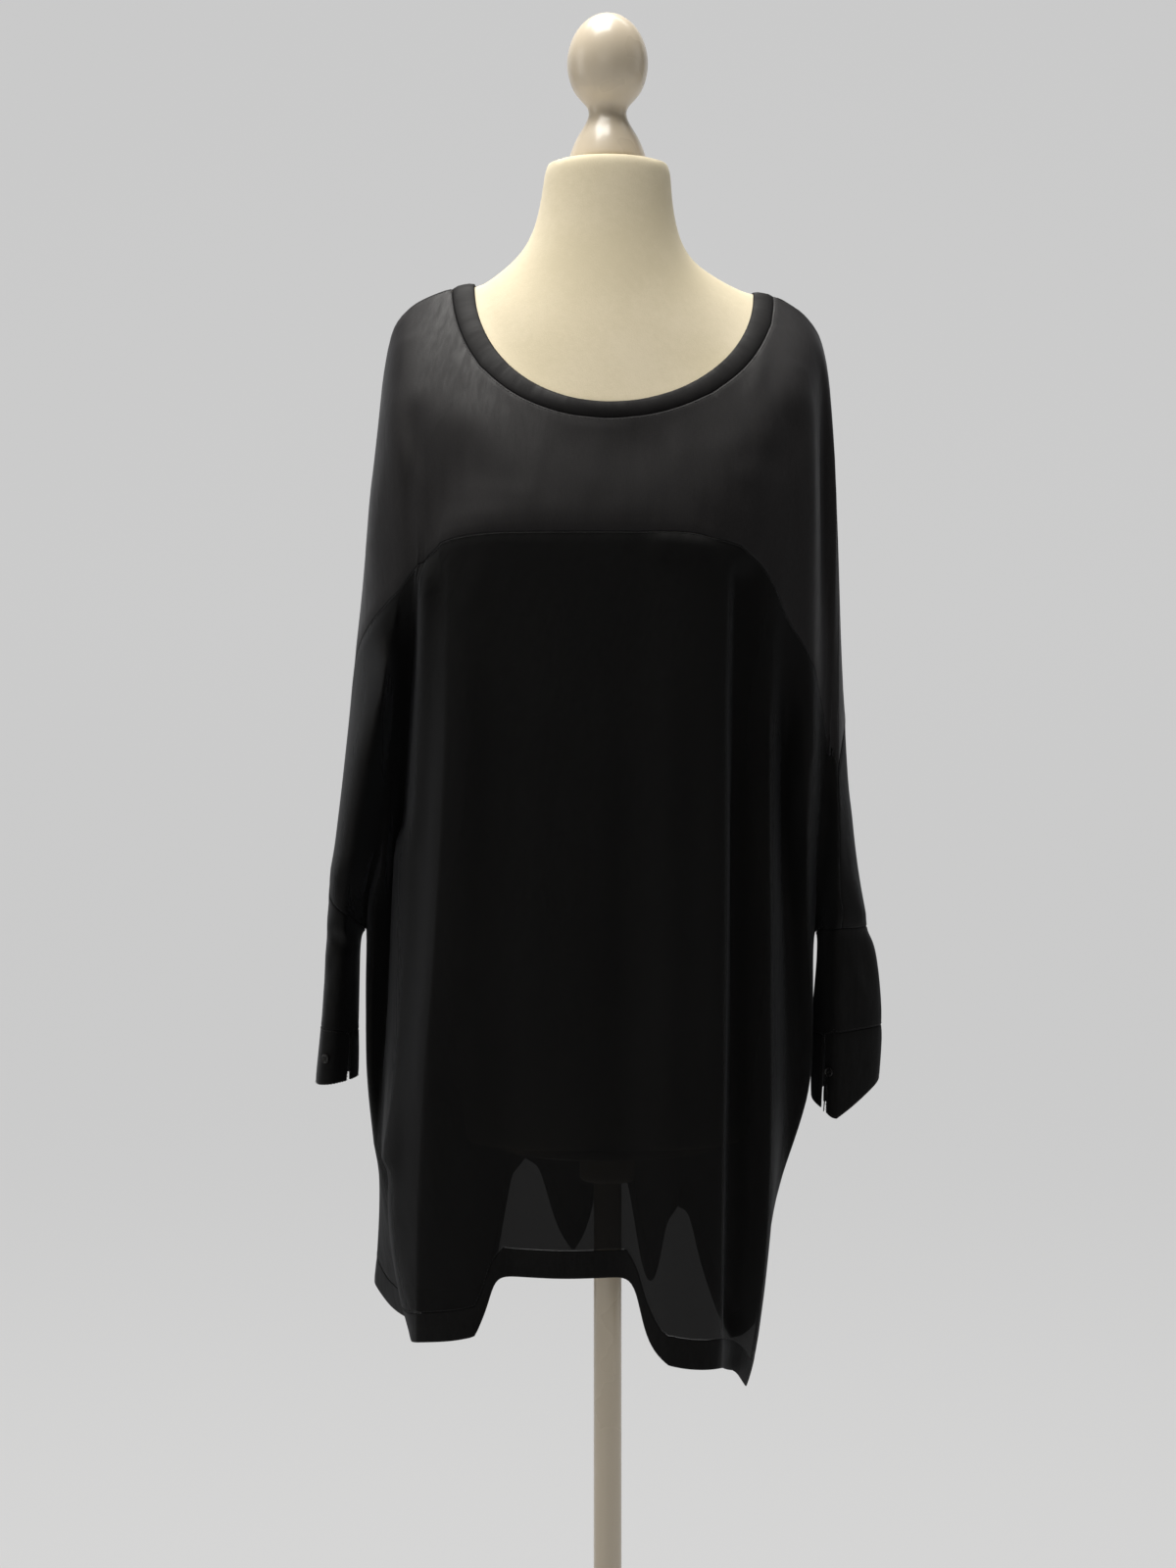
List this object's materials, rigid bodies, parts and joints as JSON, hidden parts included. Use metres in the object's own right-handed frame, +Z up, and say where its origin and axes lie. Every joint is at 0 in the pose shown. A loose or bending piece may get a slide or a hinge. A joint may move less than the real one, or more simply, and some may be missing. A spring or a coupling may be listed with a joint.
{
  "type": "blouse dress on dress form",
  "caption": "Loose black batwing blouse dress with a bound scoop neck, yoke, narrow cuffed sleeves and curved hem, on a limbless cream dress form with a turned finial and a round foot.",
  "frame": {"origin": "on the floor under the pole, at the centre of the base plate's underside", "axes": "+Z up along the pole; the garment's front faces -Y; the garment's right-hand sleeve as the picture shows it is at +X"},
  "size_m": [0.505, 0.3402, 1.7],
  "materials": {
    "neck_binding": "folded satin-faced binding, faintly glossy",
    "yoke_cloth": "soft satin-backed crepe, slight sheen",
    "body_cloth": "matt fine crepe, thin enough to show light through one layer",
    "button": "small flat black button",
    "form_jersey": "cream stretched jersey cover",
    "stand_lacquer": "smooth off-white lacquer"
  },
  "bodies": {
    "root": {"neckband": "neck_binding", "yoke_front": "yoke_cloth", "yoke_back": "yoke_cloth", "body_front": "body_cloth", "body_back": "body_cloth", "hem_band_front": "body_cloth", "hem_band_back": "body_cloth", "sleeve_left": "body_cloth", "sleeve_right": "body_cloth", "cuff_left": "body_cloth", "cuff_right": "body_cloth", "cuff_button_left": "button", "cuff_button_right": "button", "form_torso": "form_jersey", "finial": "stand_lacquer", "torso_plate": "stand_lacquer", "pole_collar": "stand_lacquer", "pole": "stand_lacquer", "base_hub": "stand_lacquer", "base_plate": "stand_lacquer"}
  },
  "joints": []
}
